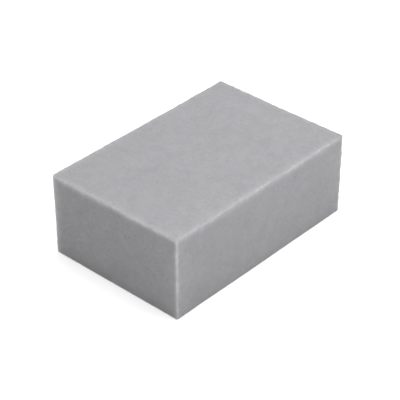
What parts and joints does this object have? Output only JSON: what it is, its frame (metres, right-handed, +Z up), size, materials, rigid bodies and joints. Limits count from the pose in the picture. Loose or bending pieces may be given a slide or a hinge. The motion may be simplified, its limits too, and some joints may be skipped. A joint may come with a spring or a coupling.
{
  "type": "grout sponge",
  "caption": "Rectangular block of fine-celled grey foam with six square sawn faces and soft edges, wetted and held in one hand to wipe fresh grout off tiles.",
  "frame": {"origin": "middle of the large flat face the block lies on", "axes": "+X along the block's length, +Y along its width, +Z up through its height"},
  "size_m": [0.161, 0.107, 0.06],
  "materials": {
    "foam": "dry open-celled hydrophilic foam, mid grey, fully matt, with fine even cells and slightly paler sawn edges"
  },
  "bodies": {
    "root": {"sponge_block": "foam"}
  },
  "joints": []
}
